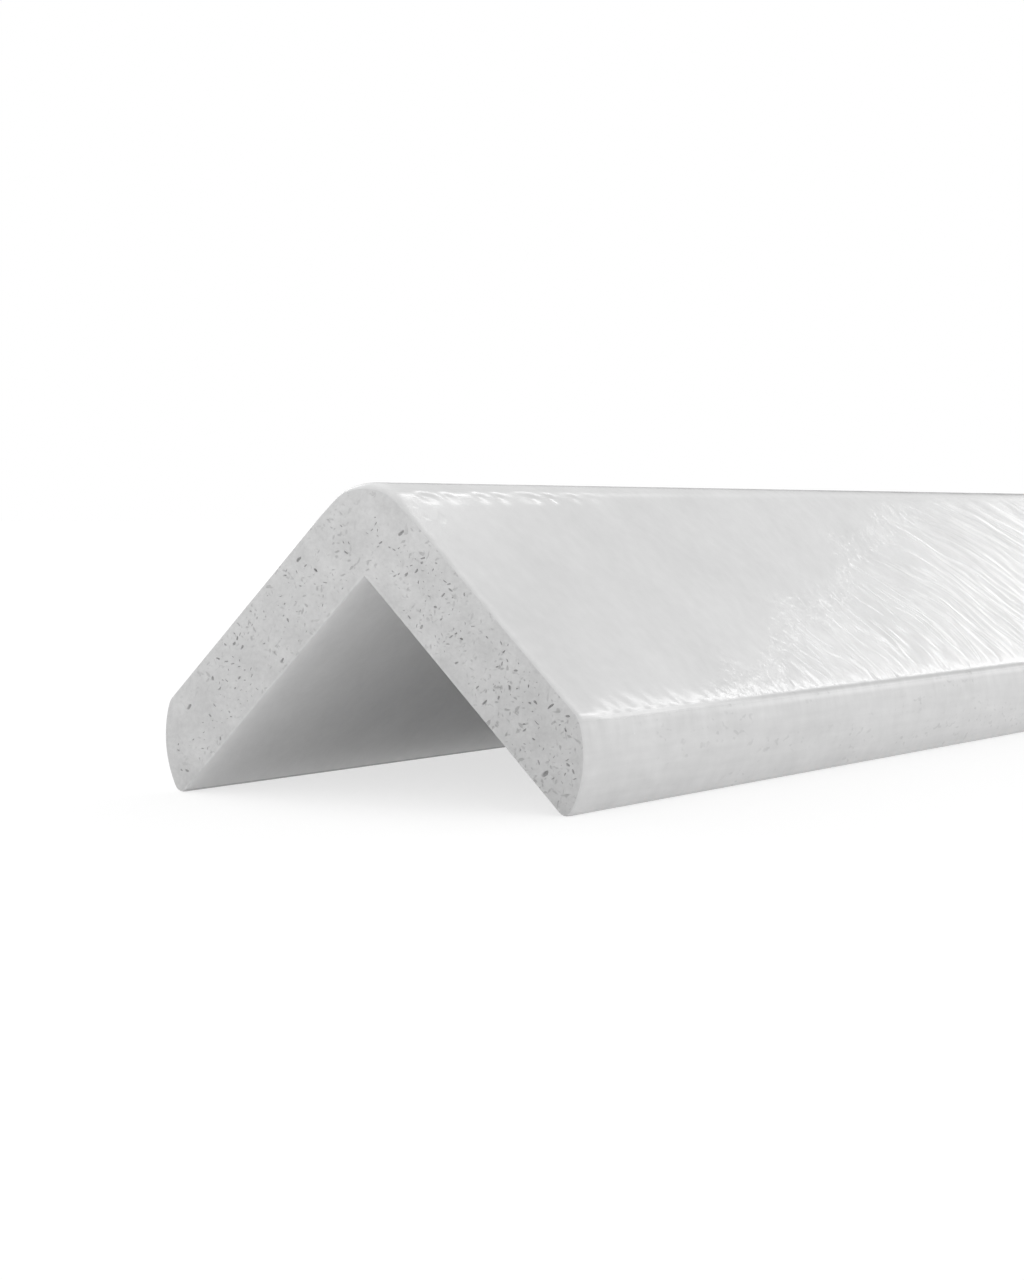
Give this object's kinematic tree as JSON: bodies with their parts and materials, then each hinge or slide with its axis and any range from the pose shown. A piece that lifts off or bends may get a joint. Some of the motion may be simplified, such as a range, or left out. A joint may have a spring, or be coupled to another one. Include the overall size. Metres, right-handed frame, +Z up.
{
  "type": "corner guard moulding",
  "caption": "Foamed right-angle corner guard with a rounded outer corner, two equal legs with crowned ends and a sharp inner corner.",
  "frame": {"origin": "on the floor, midway between the two lips that it stands on and midway along its length", "axes": "+Z up through the rounded outer corner, +Y along the length, +X across from one leg to the other"},
  "size_m": [0.0742, 1, 0.0472],
  "materials": {
    "white_foam": "satin moulded skin outside, dull moulded back, open-pored foam on the cut ends"
  },
  "bodies": {
    "root": {"corner_guard": "white_foam"}
  },
  "joints": []
}
